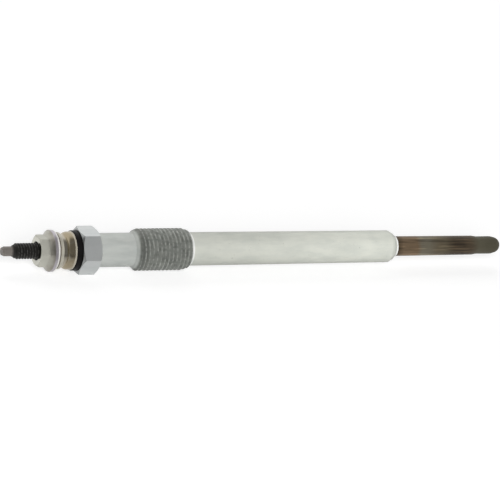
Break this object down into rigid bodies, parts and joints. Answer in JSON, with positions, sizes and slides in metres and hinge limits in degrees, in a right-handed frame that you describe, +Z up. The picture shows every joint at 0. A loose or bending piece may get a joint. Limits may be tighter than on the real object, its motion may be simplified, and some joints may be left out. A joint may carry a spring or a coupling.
{
  "type": "diesel glow plug",
  "caption": "Metal-rod diesel glow plug with a threaded hexagon body, conical seat, stepped heater tube and a nut-and-washer terminal.",
  "frame": {"origin": "on the plug's axis at the wide end of the conical sealing seat", "axes": "+X along the axis towards the heater tip, +Z up and square to one flat of the body's hexagon"},
  "size_m": [0.1283, 0.0116, 0.01],
  "materials": {
    "plated_body": "satin nickel plating",
    "heater_alloy": "heat-tinted satin alloy",
    "magnesia": "pressed powder",
    "coil_wire": "drawn resistance wire",
    "seal_rubber": "matt rubber",
    "dark_pole": "blackened steel",
    "insulator": "matt black plastic",
    "plated_round_nut": "warm bright plating",
    "zinc_washer": "zinc plating",
    "zinc_nut": "zinc plating with a beige tint"
  },
  "bodies": {
    "root": {"body": "plated_body", "heater_tube": "heater_alloy", "magnesia_fill": "magnesia", "control_coil": "coil_wire", "heating_coil": "coil_wire", "tube_stopper": "seal_rubber", "centre_pole": "dark_pole", "seal_ring": "seal_rubber", "insulating_washer": "insulator", "round_nut": "plated_round_nut", "flat_washer": "zinc_washer", "flange_nut": "zinc_nut"}
  },
  "joints": []
}
